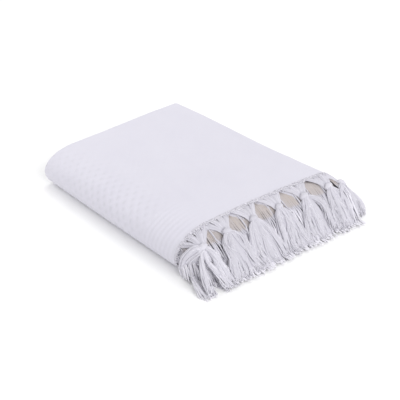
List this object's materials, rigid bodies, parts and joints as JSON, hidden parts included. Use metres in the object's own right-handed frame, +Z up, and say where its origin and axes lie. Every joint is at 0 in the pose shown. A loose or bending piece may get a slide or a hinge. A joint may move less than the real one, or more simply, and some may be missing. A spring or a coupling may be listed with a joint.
{
  "type": "folded bedspread",
  "caption": "Waffle-weave cotton bedspread folded into a flat packet, with a big rounded fold at its side and a knotted fringe at its end.",
  "frame": {"origin": "middle of the packet's footprint, fringe included, on the floor it rests on", "axes": "+X along the warp towards the fringed end, -Y towards the big rounded fold, +Z up through the layers"},
  "size_m": [0.5218, 0.409, 0.075],
  "materials": {
    "waffle_cotton": "matt waffle weave",
    "cotton_yarn": "matt loose yarn"
  },
  "bodies": {
    "root": {"cloth": "waffle_cotton", "fringe_outer": "cotton_yarn", "fringe_inner": "cotton_yarn"}
  },
  "joints": []
}
